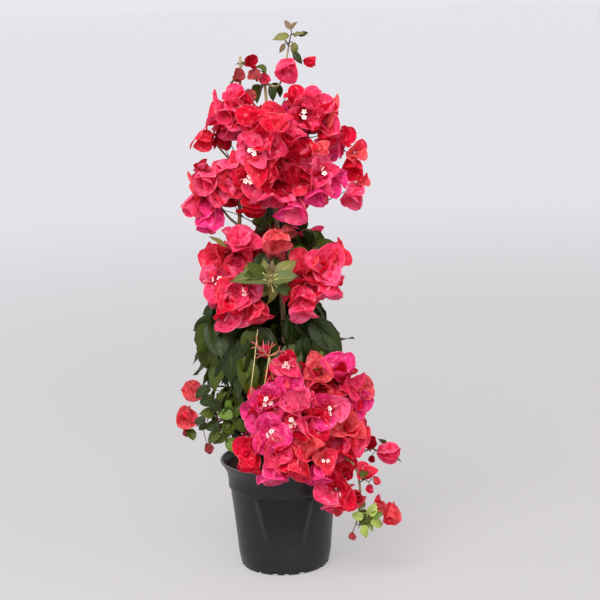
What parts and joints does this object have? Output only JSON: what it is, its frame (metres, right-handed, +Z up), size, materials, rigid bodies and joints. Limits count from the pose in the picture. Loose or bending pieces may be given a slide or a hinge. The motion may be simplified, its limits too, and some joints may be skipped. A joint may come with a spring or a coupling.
{
  "type": "potted bougainvillea bush",
  "caption": "Bougainvillea in full bloom, trained upright as a slim column, in a round black nursery pot filled with soil.",
  "frame": {"origin": "middle of the pot's flat underside, on the surface that it stands on", "axes": "+Z up along the pot's axis; -Y towards the side that the plant shows to the viewer; +X to that viewer's right"},
  "size_m": [0.305, 0.208, 0.735],
  "materials": {
    "pot": "satin",
    "soil": "matte",
    "bark": "matte",
    "bract": "matte",
    "leaf": "satin",
    "young_leaf": "satin"
  },
  "bodies": {
    "root": {"bloom_back_high": "bract", "bloom_back_low": "bract", "bloom_centre": "bract", "bloom_crown_right": "bract", "bloom_foot_back": "bract", "bloom_foot_centre": "bract", "bloom_foot_front": "bract", "bloom_foot_front_left": "bract", "bloom_foot_right": "bract", "bloom_foot_right_low": "bract", "bloom_foot_right_upper": "bract", "bloom_foot_upper": "bract", "bloom_hanging": "bract", "bloom_left": "bract", "bloom_left_tip": "bract", "bloom_low_centre": "bract", "bloom_mid_back": "bract", "bloom_mid_centre": "bract", "bloom_mid_left": "bract", "bloom_mid_left_low": "bract", "bloom_mid_right": "bract", "bloom_mid_right_low": "bract", "bloom_right": "bract", "bloom_right_drop": "bract", "bloom_right_tip": "bract", "bloom_spray": "bract", "bloom_spray_side": "bract", "bloom_spray_tip": "bract", "bloom_tip_left": "bract", "bloom_top": "bract", "bloom_twig_left_high": "bract", "bloom_twig_left_low": "bract", "bloom_twig_right": "bract", "bloom_upper_left": "bract", "bough_left": "bark", "bough_left_high": "bark", "bough_mid_right": "bark", "bough_right_high": "bark", "leader": "bark", "leaf_back_left": "leaf", "leaf_back_right": "leaf", "leaf_centre": "leaf", "leaf_foot_left": "leaf", "leaf_left": "leaf", "leaf_mid_centre": "young_leaf", "leaf_mid_right": "leaf", "leaf_right": "leaf", "leaf_spray": "young_leaf", "pot": "pot", "shoot_tip": "young_leaf", "soil": "soil", "spray_stalk": "bark", "stem_back": "bark", "stem_left": "bark", "stem_right": "bark", "trunk": "bark", "twig_left_high": "bark", "twig_left_low": "bark", "twig_right": "bark"}
  },
  "joints": []
}
